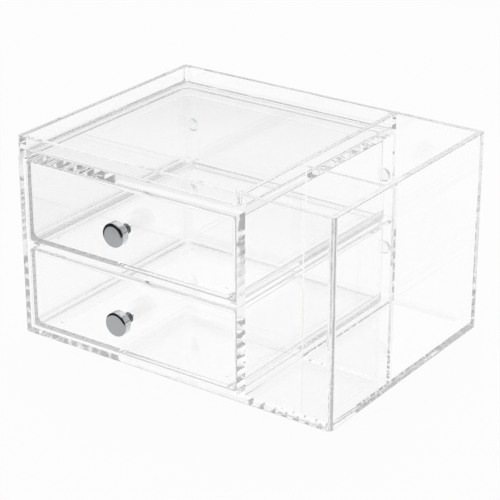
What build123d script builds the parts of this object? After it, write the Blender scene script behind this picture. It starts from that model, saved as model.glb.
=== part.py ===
from build123d import *
import os

# Clear acrylic desk organizer: a case with two sliding drawers under a shallow
# tray, and an open bin with a divider along the right side of the case.
# +Z is up, the drawers open towards -Y, and the origin is the centre of the
# footprint on the face that the organizer stands on. All sizes in millimetres.

# Outside of the organizer
total_width = 240.0
total_depth = 178.0
total_height = 138.0
case_width = 176.0          # the drawer case, from its left face to the bin

# Sheet thicknesses and rounding
case_sheet = 4.5            # case and bin panels, and the drawer fronts
tray_sheet = 4.0            # tray floor and rims
thin_sheet = 3.0            # drawer boxes and bin divider
case_corner = 1.2           # upright outside corners of the base and left wall
tray_corner = 2.8           # upright outside corners of the tray
bin_corner = 3.4            # upright outside corners of the bin
polished_edge = 0.5         # rounding of the free upper edges
base_edge = 0.6             # rounding round the underside
rail_edge = 0.6             # rounding along the free side of a rail

# Heights above the desk
tray_height = 14.5          # floor and rim together
rail_underside = 62.4
divider_top = 135.0

# Rails that carry the upper drawer
rail_width = 9.0
rail_height = 3.5
rail_gap = 0.4              # running clearance over the rails
rail_setback = 1.0          # behind the drawer front

# Drawers
drawer_height = 56.0
drawer_side_gap = 0.8       # between a drawer front and the case, each side
drawer_box_inset = 0.4      # the box stands in behind the ends of its front
drawer_lift = 1.0           # under the lower drawer, room for its runners
front_corner = 2.8          # the drawer front's corners, seen from the front
front_round = 2.2           # rounding of the drawer front's outer face
front_inner_round = 1.2     # rounding of the front's upper edge on the inside
box_foot_round = 2.5        # outside rounding between a box's floor and its walls
box_foot_fillet = 5.0       # the same corner inside, where the moulding is thicker
box_back_round = 9.0        # outside rounding of its upright back corners
box_rim_round = 1.0         # rounding of its upper edges
runner_width = 2.0          # shallow ribs along the underside of a drawer
runner_height = 0.6
runner_inset = 15.0         # from the drawer's sides to the middle of a runner
runner_end = 10.0           # the runners stop short of the box's ends

# Bin divider, measured back from the front of the organizer
divider_setback = 66.5

# Knobs and their studs
knob_rise = 1.0             # above the middle of the drawer front
knob_diameter = 16.0
knob_disc = 6.5             # thickness of the disc
knob_face_round = 1.2
knob_back_round = 0.6
neck_diameter = 7.0
neck_length = 8.0
stud_diameter = 4.0
stud_length = 10.0
stud_sink = 0.2             # the stud ends this far inside the drawer front
stud_clearance = 0.1        # radial, in the tapped holes
knob_bore_depth = 6.5

# Bumper dots that stop the drawers flush with the front
bumper_diameter = 9.5
bumper_height = 3.8
bumper_skirt = 0.8          # upright edge under the dome
bumper_inset = 6.0          # from the case's side panels to the dot's centre
bumper_gap = 0.3            # left between a dot and a closed drawer
bumper_level = [42.5, 93.8]  # heights of the lower and upper pair

# Planes that the panels share
left = -total_width / 2
right = total_width / 2
front = -total_depth / 2
back = total_depth / 2
case_right = left + case_width
bay_left = left + case_sheet
bay_right = case_right - case_sheet
bay_back = back - case_sheet
bin_right = right - case_sheet
tray_underside = total_height - tray_height
rail_top = rail_underside + rail_height
divider_front = front + divider_setback
drawer_back = bay_back - bumper_height - bumper_gap
drawer_middle = (bay_left + bay_right) / 2
front_half_width = (bay_right - bay_left) / 2 - drawer_side_gap
box_half_width = front_half_width - drawer_box_inset
drawer_underside = {
    "lower": case_sheet + drawer_lift,
    "upper": rail_top + rail_gap,
}


def panel(x0, x1, y0, y1, z0, z1):
    centre = Pos((x0 + x1) / 2, (y0 + y1) / 2, (z0 + z1) / 2)
    return centre * Box(x1 - x0, y1 - y0, z1 - z0)


def round_uprights(shape, side, radius):
    # Rounds the upright edges on the left (0) or right (-1) end of a panel.
    return fillet(shape.edges().filter_by(Axis.Z).group_by(Axis.X)[side], radius)


# Case and bin

def base_panel():
    plate = panel(left, right, front, back, 0, case_sheet)
    plate = round_uprights(plate, 0, case_corner)
    plate = round_uprights(plate, -1, bin_corner)
    return fillet(plate.faces().sort_by(Axis.Z)[0].edges(), base_edge)


def left_wall():
    wall = panel(left, bay_left, front, back, case_sheet, tray_underside)
    return round_uprights(wall, 0, case_corner)


def partition_wall():
    return panel(bay_right, case_right, front, back, case_sheet, tray_underside)


def case_back():
    return panel(bay_left, bay_right, bay_back, back, case_sheet, tray_underside)


def drawer_rail(wall, inward):
    # A narrow ledge along a side panel, under the edge of the upper drawer.
    free = wall + inward * rail_width
    y0 = front + case_sheet + rail_setback
    bar = panel(min(wall, free), max(wall, free), y0, bay_back, rail_underside, rail_top)
    free_side = 0 if inward < 0 else -1
    return fillet(bar.edges().filter_by(Axis.Y).group_by(Axis.X)[free_side], rail_edge)


def bin_front_wall():
    wall = panel(case_right, bin_right, front, front + case_sheet, case_sheet, total_height)
    return fillet(wall.edges().filter_by(Axis.X).group_by(Axis.Z)[-1], polished_edge)


def bin_back_wall():
    wall = panel(case_right, bin_right, bay_back, back, case_sheet, total_height)
    return fillet(wall.edges().filter_by(Axis.X).group_by(Axis.Z)[-1], polished_edge)


def bin_right_wall():
    wall = panel(bin_right, right, front, back, case_sheet, total_height)
    wall = round_uprights(wall, -1, bin_corner)
    outer_rim = wall.faces().sort_by(Axis.Z)[-1].edges().sort_by(Axis.X)[1:]
    return fillet(outer_rim, polished_edge)


def bin_divider():
    sheet_back = divider_front + thin_sheet
    sheet = panel(case_right, bin_right, divider_front, sheet_back, case_sheet, divider_top)
    return fillet(sheet.edges().filter_by(Axis.X).group_by(Axis.Z)[-1], polished_edge)


# Tray on top of the drawer case

rim_foot = tray_underside + tray_sheet


def tray_floor():
    plate = panel(left, case_right, front, back, tray_underside, rim_foot)
    return round_uprights(plate, 0, tray_corner)


def tray_left_rim():
    rim = panel(left, left + tray_sheet, front, back, rim_foot, total_height)
    rim = round_uprights(rim, 0, tray_corner)
    outer_rim = rim.faces().sort_by(Axis.Z)[-1].edges().sort_by(Axis.X)[:-1]
    return fillet(outer_rim, polished_edge)


def tray_right_rim():
    rim = panel(case_right - tray_sheet, case_right, front, back, rim_foot, total_height)
    return fillet(rim.edges().filter_by(Axis.Y).group_by(Axis.Z)[-1], polished_edge)


def tray_cross_rim(y0):
    x0 = left + tray_sheet
    x1 = case_right - tray_sheet
    rim = panel(x0, x1, y0, y0 + tray_sheet, rim_foot, total_height)
    return fillet(rim.edges().filter_by(Axis.X).group_by(Axis.Z)[-1], polished_edge)


# One drawer, by the height of its underside

def inner_edge_cut(length, top):
    # What the rounding takes off the upper inside edge of a drawer front.
    r = front_inner_round
    y1 = front + case_sheet
    x0 = drawer_middle - length / 2
    corner = panel(x0, x0 + length, y1 - r, y1, top - r, top)
    core = Pos(drawer_middle, y1 - r, top - r) * Cylinder(r, length, rotation=(0, 90, 0))
    return corner - core


def drawer_front(underside):
    half = front_half_width
    top = underside + drawer_height
    sheet = panel(
        drawer_middle - half, drawer_middle + half, front, front + case_sheet, underside, top
    )
    sheet = fillet(sheet.edges().filter_by(Axis.Y), front_corner)
    sheet = fillet(sheet.faces().sort_by(Axis.Y)[0].edges(), front_round)
    sheet -= inner_edge_cut(2 * half, top)
    hole = Cylinder(stud_diameter / 2 + stud_clearance, 2 * case_sheet, rotation=(90, 0, 0))
    return sheet - Pos(drawer_middle, front + case_sheet / 2, knob_height(underside)) * hole


def rounded_block(x0, x1, y0, y1, z0, z1, upright, foot):
    # A block with rounded back corners and a rounded foot, square at the front.
    block = panel(x0, x1, y0, y1, z0, z1)
    block = fillet(block.edges().filter_by(Axis.Z).group_by(Axis.Y)[-1], upright)
    foot_edges = block.faces().sort_by(Axis.Z)[0].edges().sort_by(Axis.Y)[1:]
    return fillet(foot_edges, foot)


def drawer_box(underside):
    # A moulded tub without a front wall; the drawer front closes it.
    t = thin_sheet
    x0 = drawer_middle - box_half_width
    x1 = drawer_middle + box_half_width
    y0 = front + case_sheet
    top = underside + drawer_height
    tub = rounded_block(x0, x1, y0, drawer_back, underside, top, box_back_round, box_foot_round)
    tub -= rounded_block(
        x0 + t, x1 - t, y0 - t, drawer_back - t, underside + t, top + 3 * t,
        box_back_round - t, box_foot_fillet
    )
    rim = tub.faces().sort_by(Axis.Z)[-1].edges()
    tub = fillet([e for e in rim if e.center().Y > y0 + 0.1], box_rim_round)
    for x in (x0 + runner_inset, x1 - runner_inset):
        tub += panel(
            x - runner_width / 2, x + runner_width / 2, y0 + runner_end, drawer_back - runner_end,
            underside - runner_height, underside + 0.1
        )
    return tub


# Knob and stud, turned about an axis along Y

def knob_height(underside):
    return underside + drawer_height / 2 + knob_rise


def knob(underside):
    neck = neck_diameter / 2
    disc = knob_diameter / 2
    tip = neck_length + knob_disc
    outline = Polyline(
        (0, 0), (neck, 0), (neck, -neck_length), (disc, -neck_length), (disc, -tip), (0, -tip), (0, 0)
    )
    turned = revolve(make_face(outline), Axis.Y)
    rims = turned.edges().filter_by(GeomType.CIRCLE).sort_by(Axis.Y)
    turned = fillet(rims[0], knob_face_round)
    rims = turned.edges().filter_by(GeomType.CIRCLE).group_by(SortBy.RADIUS)[-1].sort_by(Axis.Y)
    turned = fillet(rims[-1], knob_back_round)
    bore = Cylinder(stud_diameter / 2 + stud_clearance, knob_bore_depth, rotation=(90, 0, 0))
    turned -= Pos(0, -knob_bore_depth / 2, 0) * bore
    return Pos(drawer_middle, front, knob_height(underside)) * turned


def knob_stud(underside):
    inner_end = front + case_sheet - stud_sink
    stud = Cylinder(stud_diameter / 2, stud_length, rotation=(90, 0, 0))
    return Pos(drawer_middle, inner_end - stud_length / 2, knob_height(underside)) * stud


# Bumper dots on the inside of the back panel

def bumper_dot():
    radius = bumper_diameter / 2
    outline = Line((0, 0), (radius, 0))
    outline += Line((radius, 0), (radius, -bumper_skirt))
    outline += RadiusArc(
        (radius, -bumper_skirt), (0, -bumper_height), dome_radius(radius, bumper_height - bumper_skirt)
    )
    outline += Line((0, -bumper_height), (0, 0))
    return revolve(make_face(outline), Axis.Y)


def dome_radius(radius, rise):
    return (radius**2 + rise**2) / (2 * rise)


def drawer_bumpers():
    dots = []
    for level in bumper_level:
        for x in (bay_left + bumper_inset, bay_right - bumper_inset):
            dots.append(Pos(x, bay_back, level) * bumper_dot())
    return Compound(children=dots)


# Every node by name

def all_nodes():
    nodes = {
        "base_panel": base_panel(),
        "left_wall": left_wall(),
        "partition_wall": partition_wall(),
        "case_back": case_back(),
        "left_drawer_rail": drawer_rail(bay_left, 1),
        "right_drawer_rail": drawer_rail(bay_right, -1),
        "bin_front_wall": bin_front_wall(),
        "bin_back_wall": bin_back_wall(),
        "bin_right_wall": bin_right_wall(),
        "bin_divider": bin_divider(),
        "tray_floor": tray_floor(),
        "tray_left_rim": tray_left_rim(),
        "tray_right_rim": tray_right_rim(),
        "tray_front_rim": tray_cross_rim(front),
        "tray_back_rim": tray_cross_rim(back - tray_sheet),
        "drawer_bumpers": drawer_bumpers(),
    }
    for level, underside in drawer_underside.items():
        nodes[f"{level}_drawer_front"] = drawer_front(underside)
        nodes[f"{level}_drawer_box"] = drawer_box(underside)
        nodes[f"{level}_knob"] = knob(underside)
        nodes[f"{level}_knob_stud"] = knob_stud(underside)
    return nodes


os.makedirs("parts", exist_ok=True)
for name, shape in all_nodes().items():
    export_step(shape, f"parts/{name}.step")
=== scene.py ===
import math
import bmesh
import bpy
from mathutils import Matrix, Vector


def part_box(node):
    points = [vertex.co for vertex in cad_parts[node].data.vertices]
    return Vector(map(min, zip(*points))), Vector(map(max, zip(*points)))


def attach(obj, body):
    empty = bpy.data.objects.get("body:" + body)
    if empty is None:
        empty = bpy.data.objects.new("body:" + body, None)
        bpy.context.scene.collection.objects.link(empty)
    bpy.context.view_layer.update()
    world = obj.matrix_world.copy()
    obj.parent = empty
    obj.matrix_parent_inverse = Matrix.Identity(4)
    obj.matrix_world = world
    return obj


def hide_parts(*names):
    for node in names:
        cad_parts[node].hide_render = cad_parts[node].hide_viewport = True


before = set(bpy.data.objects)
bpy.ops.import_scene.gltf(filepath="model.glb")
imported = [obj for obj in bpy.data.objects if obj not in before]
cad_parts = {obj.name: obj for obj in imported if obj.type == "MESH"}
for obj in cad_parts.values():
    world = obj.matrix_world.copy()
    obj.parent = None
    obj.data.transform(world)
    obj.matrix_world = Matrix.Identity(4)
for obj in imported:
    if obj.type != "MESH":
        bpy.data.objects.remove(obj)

bpy.context.view_layer.update()
scene = bpy.context.scene
mm = 0.001
sameSpot = 0.001 * mm        # points closer than this touch
weldSpot = 0.0001 * mm       # and closer than this they are merged
cutSpot = 0.00001 * mm       # a cut this near to a point goes through it
flatSide = 0.9999            # a side whose normal is this near to an axis is flat
quarter = math.pi / 2


def fromHex(colour):
    # sRGB hex to linear
    parts = [int(colour[i:i + 2], 16) / 255 for i in (1, 3, 5)]
    return [c / 12.92 if c <= 0.04045 else ((c + 0.055) / 1.055) ** 2.4 for c in parts] + [1.0]


def addNode(tree, kind, inputs=None, **settings):
    # a value goes on the socket, a (node, output) pair is linked to it
    node = tree.nodes.new("ShaderNode" + kind)
    for name, value in settings.items():
        setattr(node, name, value)
    for socket, value in (inputs or {}).items():
        if isinstance(value, tuple) and isinstance(value[0], bpy.types.Node):
            tree.links.new(value[0].outputs[value[1]], node.inputs[socket])
        else:
            node.inputs[socket].default_value = value
    return node


def newMaterial(name):
    material = bpy.data.materials.new(name)
    material.use_nodes = True
    material.node_tree.nodes.clear()
    return material, material.node_tree


# Camera

cameraView = {
    "azimuth": 35.21,        # degrees to the right of straight in front
    "elevation": 23.66,
    "distance": 1.225,       # metres from the aim
    "aim": (0.0016, -0.0044, 0.0590),
    "lens": 135.6,
    "sensor": 36,
}


def placeCamera(v):
    a = math.radians(v["azimuth"])
    e = math.radians(v["elevation"])
    back = Vector((math.sin(a) * math.cos(e), -math.cos(a) * math.cos(e), math.sin(e)))
    data = bpy.data.cameras.new("Camera")
    data.lens = v["lens"]
    data.sensor_width = v["sensor"]
    camera = bpy.data.objects.new("Camera", data)
    scene.collection.objects.link(camera)
    camera.location = Vector(v["aim"]) + back * v["distance"]
    camera.rotation_mode = "QUATERNION"
    camera.rotation_quaternion = (-back).to_track_quat("-Z", "Y")
    scene.camera = camera


placeCamera(cameraView)
print("camera placed")


# Materials

def dress(tree, look, height, smear, base):
    # what all the surfaces share: bump from one pattern and roughness from another
    bump = addNode(tree, "Bump", {"Height": (height, "Fac"), "Strength": 1.0, "Distance": look["bumpDepth"]})
    rough = addNode(tree, "MapRange", {
        "Value": (smear, "Fac"),
        "From Min": look["smearSpan"][0], "From Max": look["smearSpan"][1],
        "To Min": look["roughness"][0], "To Max": look["roughness"][1],
    })
    shader = addNode(tree, "BsdfPrincipled", {**base, "Roughness": (rough, 0), "Normal": (bump, 0)})
    addNode(tree, "OutputMaterial", {"Surface": (shader, "BSDF")})


acrylicLook = {
    "tint": "#ffffff",
    "ior": 1.49,
    "wave": 45 * mm,         # length of the slow unevenness in a cast sheet
    "bumpDepth": 0.010 * mm,
    "roughness": (0.0, 0.004),   # most where fingers have been
    "smearSize": 12 * mm,
    "smearSpan": (0.55, 0.8),    # below the first the pattern leaves the sheet clear
}
edgeLook = {
    **acrylicLook,
    "wave": 7 * mm,          # a flame leaves sawn edges bright but uneven and a little hazy
    "bumpDepth": 0.15 * mm,
    "roughness": (0.08, 0.22),
    "smearSize": 6 * mm,
}
mouldedLook = {
    **acrylicLook,
    "wave": 22 * mm,         # shrink waves of a moulding, shorter and deeper
    "bumpDepth": 0.012 * mm,
}


def clearAcrylic(name, look):
    # clear flats with a slow wave in what is mirrored, and light that runs along inside to the edges
    material, tree = newMaterial(name)
    place = (addNode(tree, "TexCoord"), "Object")
    wave = addNode(tree, "TexNoise", {"Vector": place, "Scale": 1 / look["wave"], "Detail": 1.0})
    smear = addNode(tree, "TexNoise", {"Vector": place, "Scale": 1 / look["smearSize"], "Detail": 3.0})
    dress(tree, look, wave, smear, {
        "Base Color": fromHex(look["tint"]),
        "IOR": look["ior"],
        "Transmission Weight": 1.0,
    })
    return material


cementLook = {
    "clear": "#ffffff",
    "white": "#f4f4f4",
    "spacing": 9 * mm,
    "bubble": 0.25 * mm,
    "bubbleCore": 0.6,       # share of a bubble that is fully white
}


def clearCement(look):
    # solvent cement between two sheets: no line shows, only a bubble here and there
    material, tree = newMaterial("Cement_ClearJoint")
    place = (addNode(tree, "TexCoord"), "Object")
    cells = addNode(tree, "TexVoronoi", {"Vector": place, "Scale": 1 / look["spacing"]})
    edge = look["bubble"] / look["spacing"]
    bubble = addNode(tree, "MapRange", {
        "Value": (cells, "Distance"), "From Min": edge, "From Max": edge * look["bubbleCore"],
    })
    clear = addNode(tree, "BsdfTransparent", {"Color": fromHex(look["clear"])})
    white = addNode(tree, "BsdfTranslucent", {"Color": fromHex(look["white"])})
    mix = addNode(tree, "MixShader", {0: (bubble, 0), 1: (clear, 0), 2: (white, 0)})
    addNode(tree, "OutputMaterial", {"Surface": (mix, 0)})
    return material


chromeLook = {
    "colour": "#dcddde",
    "roughness": (0.03, 0.08),   # bright plate, dulled a little by handling
    "smearSize": 5 * mm,
    "smearSpan": (0.35, 0.7),
    "ringSpacing": 0.5 * mm,     # lathe marks, drawn coarser than real so that they show
    "bumpDepth": 0.0002 * mm,
}
satinShadeLook = {
    **chromeLook,
    # painted shade: darker than the bright plate for the darker things the face mirrors; the satin roughness
    # and brush rings are the face's own finish
    "colour": "#abadaf",
    "roughness": (0.10, 0.16),
    "smearSize": 6 * mm,
    "ringSpacing": 0.4 * mm,     # the brush's circles, coarser than real too
    "bumpDepth": 0.003 * mm,
}
neckShadeLook = {
    **chromeLook,
    "colour": "#747678",         # painted shade: the chrome darkened where the disc shades the neck
    "roughness": (0.10, 0.20),
}
waveLength = 2 * math.pi / 20    # of Blender's wave texture at scale 1


def turnedMetal(name, size, look):
    # plate over turned brass: what it mirrors is drawn into rings, soft where fingers have been
    material, tree = newMaterial(name)
    place = addNode(tree, "TexCoord")
    middle = addNode(tree, "VectorMath", {0: (place, "Generated"), 1: (0.5, 0.5, 0.5)}, operation="SUBTRACT")
    real = (addNode(tree, "VectorMath", {0: (middle, 0), 1: size}, operation="MULTIPLY"), 0)
    rings = addNode(tree, "TexWave", {"Vector": real, "Scale": waveLength / look["ringSpacing"]},
                    wave_type="RINGS", rings_direction="Y")
    smear = addNode(tree, "TexNoise", {"Vector": real, "Scale": 1 / look["smearSize"], "Detail": 4.0})
    dress(tree, look, rings, smear, {"Base Color": fromHex(look["colour"]), "Metallic": 1.0})
    return material


zincLook = {
    "colour": "#8f9296",
    "roughness": (0.25, 0.45),
    "grain": 0.8 * mm,
    "smearSpan": (0.3, 0.7),
    "bumpDepth": 0.01 * mm,
}


def zincPlate(look):
    # zinc-plated steel thread: soft grey metal, blotchy from the plating bath
    material, tree = newMaterial("Steel_ZincPlatedThread")
    place = (addNode(tree, "TexCoord"), "Object")
    grain = addNode(tree, "TexNoise", {"Vector": place, "Scale": 1 / look["grain"], "Detail": 3.0})
    dress(tree, look, grain, grain, {"Base Color": fromHex(look["colour"]), "Metallic": 1.0})
    return material


urethaneLook = {
    "tint": "#fbfcfc",
    "ior": 1.5,
    "roughness": (0.02, 0.07),
    "skin": 1.5 * mm,
    "smearSpan": (0.3, 0.7),
    "bumpDepth": 0.004 * mm,
}


def clearUrethane(look):
    # cast polyurethane dots: clear, soft, a shade cloudier than the sheet
    material, tree = newMaterial("Polyurethane_CastDot")
    place = (addNode(tree, "TexCoord"), "Object")
    skin = addNode(tree, "TexNoise", {"Vector": place, "Scale": 1 / look["skin"], "Detail": 2.0})
    dress(tree, look, skin, skin, {
        "Base Color": fromHex(look["tint"]),
        "IOR": look["ior"],
        "Transmission Weight": 1.0,
    })
    return material


acrylic = clearAcrylic("Acrylic_CastSheet_Polished", acrylicLook)
sawnEdge = clearAcrylic("Acrylic_FlamePolishedEdge", edgeLook)
moulded = clearAcrylic("Acrylic_Moulded_Glossy", mouldedLook)
joint = clearCement(cementLook)
knobLow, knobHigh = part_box("lower_knob")
knobSize = tuple(knobHigh[i] - knobLow[i] for i in range(3))
chrome = turnedMetal("Chrome_BrightPlate", knobSize, chromeLook)
# the face's copy of the chrome is darker as painted shade, its satin roughness is real
satinShade = turnedMetal("Chrome_SatinFace_PaintedShade", knobSize, satinShadeLook)
# the neck's copy of the chrome is darker: painted shade of the disc
neckShade = turnedMetal("Chrome_NeckPaintedShade", knobSize, neckShadeLook)
zinc = zincPlate(zincLook)
urethane = clearUrethane(urethaneLook)
print("materials made")


# Case: sheets cemented to each other and to the tray

sheetLook = {
    "edge": 0.5 * mm,        # rounding of the polished upper edges
    "foot": 0.6 * mm,        # rounding round the underside
    "rail": 0.6 * mm,
    "leftCorner": 1.2 * mm,  # upright corners
    "rightCorner": 3.4 * mm,
    "edgeSteps": 3,
    "cornerSteps": 14,
    "looseGap": 0.05 * mm,   # air left where a sheet only leans on another
}

# bonded sides are cemented to a neighbour, corners are the upright ones of a side,
# rim is a side rounded all round except where it meets a bonded or a sharp side
caseSheets = {
    "base_panel": {"corners": {"-x": "leftCorner", "+x": "rightCorner"}, "rim": ("-z", "foot")},
    "left_wall": {"bonded": "-z +z", "corners": {"-x": "leftCorner"}},
    "partition_wall": {"bonded": "-z +z"},
    "case_back": {"bonded": "-x +x -z +z"},
    "left_drawer_rail": {"bonded": "-x +y", "rim": ("+x", "rail"), "sharp": "-y"},
    "right_drawer_rail": {"bonded": "+x +y", "rim": ("-x", "rail"), "sharp": "-y"},
    "bin_front_wall": {"bonded": "-x +x -z", "rim": ("+z", "edge")},
    "bin_back_wall": {"bonded": "-x +x -z", "rim": ("+z", "edge")},
    "bin_right_wall": {"bonded": "-z", "corners": {"+x": "rightCorner"}, "rim": ("+z", "edge"),
                       "sharp": "-x"},
    "bin_divider": {"bonded": "+x -z", "rim": ("+z", "edge"), "sharp": "-x", "loose": "-x"},
}
broadFace, jointFace, endFace = 0, 1, 2   # order of a sheet's materials


def sidesFor(name, kind):
    return caseSheets[name].get(kind, "").split()


def sideOf(face):
    # "-x" to "+z" for a flat side, "" on a rounding
    for i, axis in enumerate("xyz"):
        if abs(face.normal[i]) > flatSide:
            return ("+" if face.normal[i] > 0 else "-") + axis
    return ""


def facesOn(build, side, level):
    i = "xyz".index(side[1])
    return [f for f in build.faces if sideOf(f) == side and abs(f.verts[0].co[i] - level) < sameSpot]


def roundOff(build, edges, radius, steps):
    bmesh.ops.bevel(build, geom=edges, offset=radius, segments=steps, profile=0.5, affect="EDGES")


def cutSheet(name, look):
    low, high = (list(c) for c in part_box(name))
    for side in sidesFor(name, "loose"):
        i = "xyz".index(side[1])
        if side[0] == "-":
            low[i] += look["looseGap"]
        else:
            high[i] -= look["looseGap"]
    build = bmesh.new()
    bmesh.ops.create_cube(build, size=1)
    for v in build.verts:
        v.co = [high[i] if v.co[i] > 0 else low[i] for i in range(3)]
    for side, radius in caseSheets[name].get("corners", {}).items():
        x = low[0] if side == "-x" else high[0]
        uprights = [e for e in build.edges if all(abs(v.co.x - x) < sameSpot for v in e.verts)
                    and abs(e.verts[0].co.z - e.verts[1].co.z) > mm]
        roundOff(build, uprights, look[radius], look["cornerSteps"])
    build.normal_update()
    if "rim" in caseSheets[name]:
        rimSide, radius = caseSheets[name]["rim"]
        leftSharp = sidesFor(name, "bonded") + sidesFor(name, "sharp")
        rounded = []
        for face in [f for f in build.faces if sideOf(f) == rimSide]:
            for e in face.edges:
                other = [sideOf(f) for f in e.link_faces if f is not face][0]
                if other not in leftSharp:
                    rounded.append(e)
        roundOff(build, rounded, look[radius], look["edgeSteps"])
        build.normal_update()
    thin = min(range(3), key=lambda i: high[i] - low[i])
    for f in build.faces:
        f.material_index = broadFace if abs(f.normal[thin]) > flatSide else endFace
    return build


def cutAcross(build, faces, point, normal):
    parts = list(faces)
    for f in faces:
        parts += list(f.edges) + list(f.verts)
    bmesh.ops.bisect_plane(build, geom=list(dict.fromkeys(parts)), dist=cutSpot,
                           plane_co=point, plane_no=normal)


def insideFace(point, face, i):
    # even-odd test in the plane across axis i
    a, b = [k for k in range(3) if k != i]
    inside = False
    corners = [v.co for v in face.verts]
    for p, q in zip(corners, corners[1:] + corners[:1]):
        if (p[b] > point[b]) != (q[b] > point[b]):
            if point[a] < p[a] + (point[b] - p[b]) * (q[a] - p[a]) / (q[b] - p[b]):
                inside = not inside
    return inside


def unitAlong(i):
    return Vector([1.0 if k == i else 0.0 for k in range(3)])


def cement(build, side, other):
    # marks the end of one piece and its footprint on the other as a clear joint
    i = "xyz".index(side[1])
    level = (max if side[0] == "+" else min)(v.co[i] for v in build.verts)
    ends = facesOn(build, side, level)
    facing = ("-" if side[0] == "+" else "+") + side[1]
    if not facesOn(other, facing, level):
        return
    outline = [e for f in ends for e in f.edges if sum(g in ends for g in e.link_faces) == 1]
    lines = [(e.verts[0].co.copy(), e.verts[1].co.copy()) for e in outline]
    low = [min(min(p[k], q[k]) for p, q in lines) for k in range(3)]
    high = [max(max(p[k], q[k]) for p, q in lines) for k in range(3)]
    for k in range(3):       # the footprint's box first
        if k != i:
            cutAcross(other, facesOn(other, facing, level), low, unitAlong(k))
            cutAcross(other, facesOn(other, facing, level), high, unitAlong(k))
    done = set()
    for p, q in lines:       # then its outline, each line once
        normal = unitAlong(i).cross(q - p).normalized()
        normal *= 1 if sum(normal) > 0 else -1
        key = tuple(round(c, 5) for c in (*normal, normal.dot(p)))
        if key not in done:
            done.add(key)
            near = []
            for f in facesOn(other, facing, level):
                middle = f.calc_center_median()
                if all(low[k] - sameSpot < middle[k] < high[k] + sameSpot for k in range(3)):
                    near.append(f)
            cutAcross(other, near, p, normal)
    for f in facesOn(other, facing, level):
        if any(insideFace(f.calc_center_median(), end, i) for end in ends):
            f.material_index = jointFace
    for f in ends:
        f.material_index = jointFace


def addPiece(name, mesh, body, slot, materials, *nodes):
    for material in materials:
        mesh.materials.append(material)
    piece = bpy.data.objects.new(name, mesh)
    scene.collection.objects.link(piece)
    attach(piece, body)
    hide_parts(*nodes)


def toMesh(name, build):
    # cutting leaves its new faces in no fixed order, so they are put in one
    ranked = sorted(build.faces, key=lambda f: tuple(round(c, 6) for c in f.calc_center_median()))
    rank = {f: i for i, f in enumerate(ranked)}
    build.faces.sort(key=lambda f: rank[f])
    mesh = bpy.data.meshes.new(name)
    build.to_mesh(mesh)
    build.free()
    return mesh


def bridge(build, rings):
    # walls between rings of points, a ring of one point is a tip
    for a, b in zip(rings, rings[1:]):
        count = max(len(a), len(b))
        for k in range(count):
            n = (k + 1) % count
            corners = [a[k % len(a)], a[n % len(a)], b[n % len(b)], b[k % len(b)]]
            build.faces.new(list(dict.fromkeys(corners)))


trayLook = {
    "outerRound": 2.8 * mm,  # the two left corners, the right ones are square
    "innerRound": 5.0 * mm,  # upright corners inside
    "cove": 3.0 * mm,        # round the floor
    "edge": 0.5 * mm,
    "edgeSteps": 3,
    "cornerSteps": 12,
    "coveSteps": 16,
}
trayNodes = ("tray_floor", "tray_left_rim", "tray_right_rim", "tray_front_rim", "tray_back_rim")


def trayLoop(build, low, high, left, right, z, steps):
    # one level of the tray as a rounded rectangle
    loop = []
    for x, y, radius, turn in ((high[0], high[1], right, 0), (low[0], high[1], left, 1),
                               (low[0], low[1], left, 2), (high[0], low[1], right, 3)):
        inX = -1 if x == high[0] else 1
        inY = -1 if y == high[1] else 1
        for k in range(steps + 1):
            t = quarter * (turn + k / steps)
            loop.append(build.verts.new((x + inX * radius + radius * math.cos(t),
                                         y + inY * radius + radius * math.sin(t), z)))
    return loop


def mouldTray(look):
    boxes = {node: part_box(node) for node in trayNodes}
    low, high = boxes["tray_floor"]
    top = boxes["tray_left_rim"][1][2]
    cavityLow = (boxes["tray_left_rim"][1][0], boxes["tray_front_rim"][1][1])
    cavityHigh = (boxes["tray_right_rim"][0][0], boxes["tray_back_rim"][0][1])
    edge, cove, outer, inner = look["edge"], look["cove"], look["outerRound"], look["innerRound"]
    edgeTurns = [quarter * i / look["edgeSteps"] for i in range(look["edgeSteps"] + 1)]
    coveTurns = [quarter * i / look["coveSteps"] for i in range(look["coveSteps"] + 1)]
    build = bmesh.new()
    loops = []

    def level(corner, opposite, grow, left, right, z):
        a = [c - grow for c in corner]
        b = [c + grow for c in opposite]
        loops.append(trayLoop(build, a, b, left, right, z, look["cornerSteps"]))

    # up the outside, over the rim, and down the inside to the floor
    level(low[:2], high[:2], 0, outer, 0, low[2])
    for t in edgeTurns:
        inset = edge * (1 - math.cos(t))
        level(low[:2], high[:2], -inset, outer - inset, 0, top - edge + edge * math.sin(t))
    for t in edgeTurns:
        grow = edge * (1 - math.sin(t))
        level(cavityLow, cavityHigh, grow, inner + grow, inner + grow, top - edge + edge * math.cos(t))
    for t in coveTurns:
        inset = cove * (1 - math.cos(t))
        level(cavityLow, cavityHigh, -inset, inner - inset, inner - inset, high[2] + cove * (1 - math.sin(t)))
    bridge(build, loops)
    build.faces.new(loops[0])
    build.faces.new(loops[-1])
    bmesh.ops.remove_doubles(build, verts=build.verts[:], dist=weldSpot)
    bmesh.ops.recalc_face_normals(build, faces=build.faces[:])
    build.normal_update()
    return build


sheets = {name: cutSheet(name, sheetLook) for name in caseSheets}
tray = mouldTray(trayLook)
for name in sheets:
    for side in sidesFor(name, "bonded"):
        for other in sheets:
            if other != name:
                cement(sheets[name], side, sheets[other])
        cement(sheets[name], side, tray)
for name, build in sheets.items():
    mesh = toMesh(name, build)
    addPiece("Sheet_" + name, mesh, "housing", "case_acrylic", [acrylic, joint, sawnEdge], name)
addPiece("Moulding_tray", toMesh("tray", tray), "housing", "case_acrylic", [moulded, joint], *trayNodes)
print("case:", len(sheets), "sheets and the tray cemented")


# Drawers: a moulded box cemented behind its front

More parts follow.
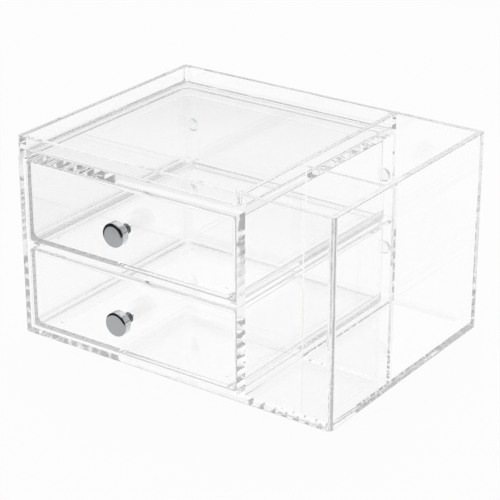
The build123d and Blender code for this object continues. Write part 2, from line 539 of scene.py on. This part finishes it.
for level in ("lower", "upper"):
    pair = {}
    for part in ("box", "front"):
        build = bmesh.new()
        build.from_mesh(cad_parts[level + "_drawer_" + part].data)
        bmesh.ops.remove_doubles(build, verts=build.verts[:], dist=weldSpot)
        for f in build.faces:
            f.material_index = broadFace
        build.normal_update()
        pair[part] = build
    cement(pair["box"], "-y", pair["front"])
    for part, build in pair.items():
        node = level + "_drawer_" + part
        mesh = toMesh(node, build)
        addPiece("Moulding_" + node, mesh, level + "_drawer", "drawer_acrylic", [moulded, joint], node)
print("drawers cemented")


# Bumper dots, stuck on: their backs run a hair into the panel

dotLook = {"stick": 0.05 * mm}
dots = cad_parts["drawer_bumpers"].data.copy()
dots.materials.clear()
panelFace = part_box("drawer_bumpers")[1][1]
for v in dots.vertices:
    if abs(v.co.y - panelFace) < sameSpot:
        v.co.y += dotLook["stick"]
addPiece("Bumper_dots", dots, "housing", "clear_bumper", [urethane], "drawer_bumpers")
print("bumper dots stuck on")


# Knobs and their studs, turned about Y

knobLook = {
    "neck": 3.5 * mm,        # radius
    "disc": 6.5 * mm,        # thickness
    "faceRound": (2.0 * mm, 1.2 * mm),   # across the face and back from it
    "faceEdge": 0.97,        # a ring just inside the rounding keeps the face flat
    "backRound": 0.6 * mm,
    "neckRound": 0.5 * mm,   # where the neck runs into the disc
    "bore": 2.1 * mm,
    "boreDepth": 6.5 * mm,
    "gap": 0.05 * mm,        # between the neck and the drawer front
    "steps": 96,
    "roundSteps": 8,
    "sharp": 35,             # degrees, edges over this stay crisp
}
discSide, faceSide, neckSide = 0, 1, 2    # order of a knob's materials


def roundCorner(centre, across, out, start, turn, steps):
    turns = [start + turn * i / steps for i in range(steps + 1)]
    return [(centre[0] + across * math.cos(t), centre[1] + out * math.sin(t)) for t in turns]


def knobOutline(radius, length, look):
    # (radius, distance out from the drawer front), from the bore's end round to the middle of the face
    neck, bore, depth, gap = look["neck"], look["bore"], look["boreDepth"], look["gap"]
    (across, deep), b, c = look["faceRound"], look["backRound"], look["neckRound"]
    back = length - look["disc"]
    steps = look["roundSteps"]
    points = [(0, depth), (bore, depth), (bore, gap), (neck - c / 2, gap), (neck, gap + c / 2)]
    points += roundCorner((neck + c, back - c), c, c, math.pi, -quarter, steps)
    points += roundCorner((radius - b, back + b), b, b, -quarter, quarter, steps)
    points += roundCorner((radius - across, length - deep), across, deep, 0, quarter, steps)
    points += [((radius - across) * look["faceEdge"], length), (0, length)]
    return points


def turnKnob(name, look):
    low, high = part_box(name)
    middle = [(low[i] + high[i]) / 2 for i in range(3)]
    turns = [2 * math.pi * k / look["steps"] for k in range(look["steps"])]
    build = bmesh.new()
    rings = []
    for r, out in knobOutline((high[0] - low[0]) / 2, high[1] - low[1], look):
        spots = [(middle[0] + r * math.cos(t), high[1] - out, middle[2] + r * math.sin(t)) for t in turns]
        rings.append([build.verts.new(spot) for spot in (spots if r else spots[:1])])
    bridge(build, rings)
    bmesh.ops.recalc_face_normals(build, faces=build.faces[:])
    for f in build.faces:    # the face is satin with its rounding and darker as painted shade, the neck darker still as painted shade of the disc
        behind = f.calc_center_median().y - low[1]
        f.material_index = discSide
        if behind < look["faceRound"][1]:
            f.material_index = faceSide
        elif behind > look["disc"] + sameSpot:
            f.material_index = neckSide
    mesh = toMesh(name, build)
    mesh.shade_smooth()
    mesh.set_sharp_from_angle(angle=math.radians(look["sharp"]))
    return mesh


studLook = {"pitch": 0.7 * mm, "depth": 0.38 * mm, "steps": 40, "rows": 6}   # M4 thread, rows to a turn


def threadStud(name, look):
    low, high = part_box(name)
    middle = [(low[i] + high[i]) / 2 for i in range(3)]
    radius = (high[0] - low[0]) / 2
    rows = round((high[1] - low[1]) / look["pitch"] * look["rows"])
    build = bmesh.new()
    rings = []
    for i in range(rows + 1):
        y = low[1] + (high[1] - low[1]) * i / rows
        end = min(i, rows - i) / look["rows"]      # the thread runs out at both ends
        ring = []
        for k in range(look["steps"]):
            t = 2 * math.pi * k / look["steps"]
            wave = ((y - low[1]) / look["pitch"] + k / look["steps"]) % 1
            r = radius - look["depth"] * max(abs(2 * wave - 1), 1 - end)
            ring.append(build.verts.new((middle[0] + r * math.cos(t), y, middle[2] + r * math.sin(t))))
        rings.append(ring)
    bridge(build, rings)
    build.faces.new(rings[0])
    build.faces.new(rings[-1])
    bmesh.ops.recalc_face_normals(build, faces=build.faces[:])
    return toMesh(name, build)


for level in ("lower", "upper"):
    knob, stud = level + "_knob", level + "_knob_stud"
    turned, threaded = turnKnob(knob, knobLook), threadStud(stud, studLook)
    addPiece("Turned_" + knob, turned, level + "_drawer", "chrome_knob", [chrome, satinShade, neckShade], knob)
    addPiece("Threaded_" + stud, threaded, level + "_drawer", "steel_stud", [zinc], stud)
print("knobs and studs turned")


# Floor and light

studio = {
    "paper": "#f6f6f6",
    "white": "#ffffff",
    "shownShare": 0.96,      # how much of the floor is plain white to the eye, the rest is shaded
    "floorSize": 20,         # metres either way
    "floorDrop": 0.3 * mm,   # the paper lies a hair under the part
    # black flags beside the object: along what, where the paper is still white and where it is dark,
    # and what meets them: mirrors, light that ran far inside the sheets, or both
    "flags": (
        ("Y", -0.28, -0.42, "both"),        # in front
        ("X", 0.30, 0.42, "both"),          # right
        ("X", -0.34, -0.46, "both"),        # left
        ("X+Y", 0.22, 0.34, "inside"),      # behind on the right
        ("X", -0.19, -0.23, "mirrors"),     # left and close
    ),
    "flagLevel": 0.04,
    "seenThrough": 14,       # surfaces that a straight look through the whole object can cross
    "paler": 0.4,            # how far the dark parts fade towards white when seen through the sheets
    "dull": 0.95,            # what is left of light that ran far inside them
    # light by the height of the direction: a wide softbox behind and above, a dark room at the camera's side
    "skyBehind": ((0.0, 0.03), (0.30, 0.03), (0.345, 0.75), (0.37, 0.85), (0.42, 1.1), (0.8, 1.25)),
    "skyAhead": ((0.0, 0.03), (0.78, 0.03), (0.95, 1.2)),
    "turn": {"Y": (-0.05, 0.35, 0.0), "X": (0.35, 0.05, 0.1)},   # where the dark gives way to the softbox
    "bounces": 256,          # light runs a long way inside the sheets before it leaves
}


def lightPath(tree, look):
    # marks light that ran far inside the sheets, what is left of it, and how much paler glass shows the dark
    path = addNode(tree, "LightPath")
    caught = addNode(tree, "Math", {0: (path, "Ray Depth"), 1: look["seenThrough"]}, operation="GREATER_THAN")
    kept = addNode(tree, "MapRange", {"Value": (caught, 0), "To Min": 1.0, "To Max": look["dull"]})
    pale = addNode(tree, "Math", {0: (path, "Is Transmission Ray"), 1: look["paler"]}, operation="MULTIPLY")
    return path, caught, kept, pale


def makeFloor(look):
    build = bmesh.new()
    bmesh.ops.create_grid(build, x_segments=1, y_segments=1, size=look["floorSize"])
    mesh = toMesh("Floor", build)
    floor = bpy.data.objects.new("Floor", mesh)
    floor.location.z = -look["floorDrop"]
    scene.collection.objects.link(floor)
    material, tree = newMaterial("Paper_MattWhite")
    paper = addNode(tree, "BsdfDiffuse", {"Color": fromHex(look["paper"])})
    place = addNode(tree, "TexCoord")
    split = addNode(tree, "SeparateXYZ", {0: (place, "Object")})
    slant = addNode(tree, "Math", {0: (split, "X"), 1: (split, "Y")}, operation="ADD")
    along = {"X": (split, "X"), "Y": (split, "Y"), "X+Y": (slant, 0)}
    path, caught, kept, pale = lightPath(tree, look)
    reach = None
    for way, white, dark, meets in look["flags"]:
        fade = addNode(tree, "MapRange", {
            "Value": along[way], "From Min": dark, "From Max": white,
            "To Min": look["flagLevel"], "To Max": 1.0,
        })
        if meets == "inside":
            fade = addNode(tree, "Mix", {"Factor": (caught, 0), "A": 1.0, "B": (fade, 0)}, data_type="FLOAT")
        if meets == "mirrors":
            fade = addNode(tree, "Mix", {"Factor": (caught, 0), "A": (fade, 0), "B": 1.0}, data_type="FLOAT")
        reach = addNode(tree, "Math", {0: (fade, 0), 1: (reach, 0)}, operation="MINIMUM") if reach else fade
    # a straight look through the sheets meets plain white paper
    aside = addNode(tree, "Math", {0: (caught, 0), 1: (path, "Is Reflection Ray")}, operation="MAXIMUM")
    edges = addNode(tree, "Mix", {"Factor": (pale, 0), "A": (reach, 0), "B": 1.0}, data_type="FLOAT")
    level = addNode(tree, "Mix", {"Factor": (aside, 0), "A": 1.0, "B": (edges, 0)}, data_type="FLOAT")
    level = addNode(tree, "Math", {0: (level, 0), 1: (kept, 0)}, operation="MULTIPLY")
    white = addNode(tree, "Emission", {"Color": fromHex(look["white"]), "Strength": (level, 0)})
    seen = addNode(tree, "Math", {0: (path, "Is Camera Ray"), 1: (path, "Is Glossy Ray")},
                   operation="MAXIMUM")
    seen = addNode(tree, "Math", {0: (seen, 0), 1: (path, "Is Transmission Ray")}, operation="MAXIMUM")
    share = addNode(tree, "Math", {0: (seen, 0), 1: look["shownShare"]}, operation="MULTIPLY")
    mix = addNode(tree, "MixShader", {0: (share, 0), 1: (paper, "BSDF"), 2: (white, "Emission")})
    addNode(tree, "OutputMaterial", {"Surface": (mix, "Shader")})
    mesh.materials.append(material)


def makeWorld(look):
    world = bpy.data.worlds.new("Studio")
    scene.world = world
    world.use_nodes = True
    tree = world.node_tree
    tree.nodes.clear()
    place = addNode(tree, "TexCoord")
    split = addNode(tree, "SeparateXYZ", {0: (place, "Generated")})
    ramps = []
    for sky in (look["skyAhead"], look["skyBehind"]):
        ramp = addNode(tree, "ValToRGB", {0: (split, "Z")})
        stops = ramp.color_ramp.elements
        stops.remove(stops[1])
        for i, (height, level) in enumerate(sky):
            stop = stops[0] if i == 0 else stops.new(height)
            stop.position = height
            stop.color = (level, level, level, 1)
        ramps.append(ramp)
    turns = []
    for axis, (dark, bright, least) in look["turn"].items():
        turns.append(addNode(tree, "MapRange", {
            "Value": (split, axis), "From Min": dark, "From Max": bright, "To Min": least,
        }, interpolation_type="SMOOTHSTEP"))
    turn = addNode(tree, "Math", {0: (turns[0], 0), 1: (turns[1], 0)}, operation="MULTIPLY")
    sky = addNode(tree, "Mix", {"Factor": (turn, 0), "A": (ramps[0], 0), "B": (ramps[1], 0)},
                  data_type="FLOAT")
    path, caught, kept, pale = lightPath(tree, look)
    shown = addNode(tree, "Math", {0: (path, "Is Camera Ray"), 1: (pale, 0)}, operation="MAXIMUM")
    level = addNode(tree, "Mix", {"Factor": (shown, 0), "A": (sky, 0), "B": 1.0}, data_type="FLOAT")
    level = addNode(tree, "Math", {0: (level, 0), 1: (kept, 0)}, operation="MULTIPLY")
    light = addNode(tree, "Background", {"Color": fromHex(look["white"]), "Strength": (level, 0)})
    addNode(tree, "OutputWorld", {"Surface": (light, "Background")})


makeFloor(studio)
makeWorld(studio)
scene.view_settings.view_transform = "Standard"
scene.cycles.max_bounces = studio["bounces"]
scene.cycles.transmission_bounces = studio["bounces"]
scene.cycles.glossy_bounces = studio["bounces"]
scene.cycles.transparent_max_bounces = studio["bounces"]
print("floor and light set")

bpy.context.view_layer.update()
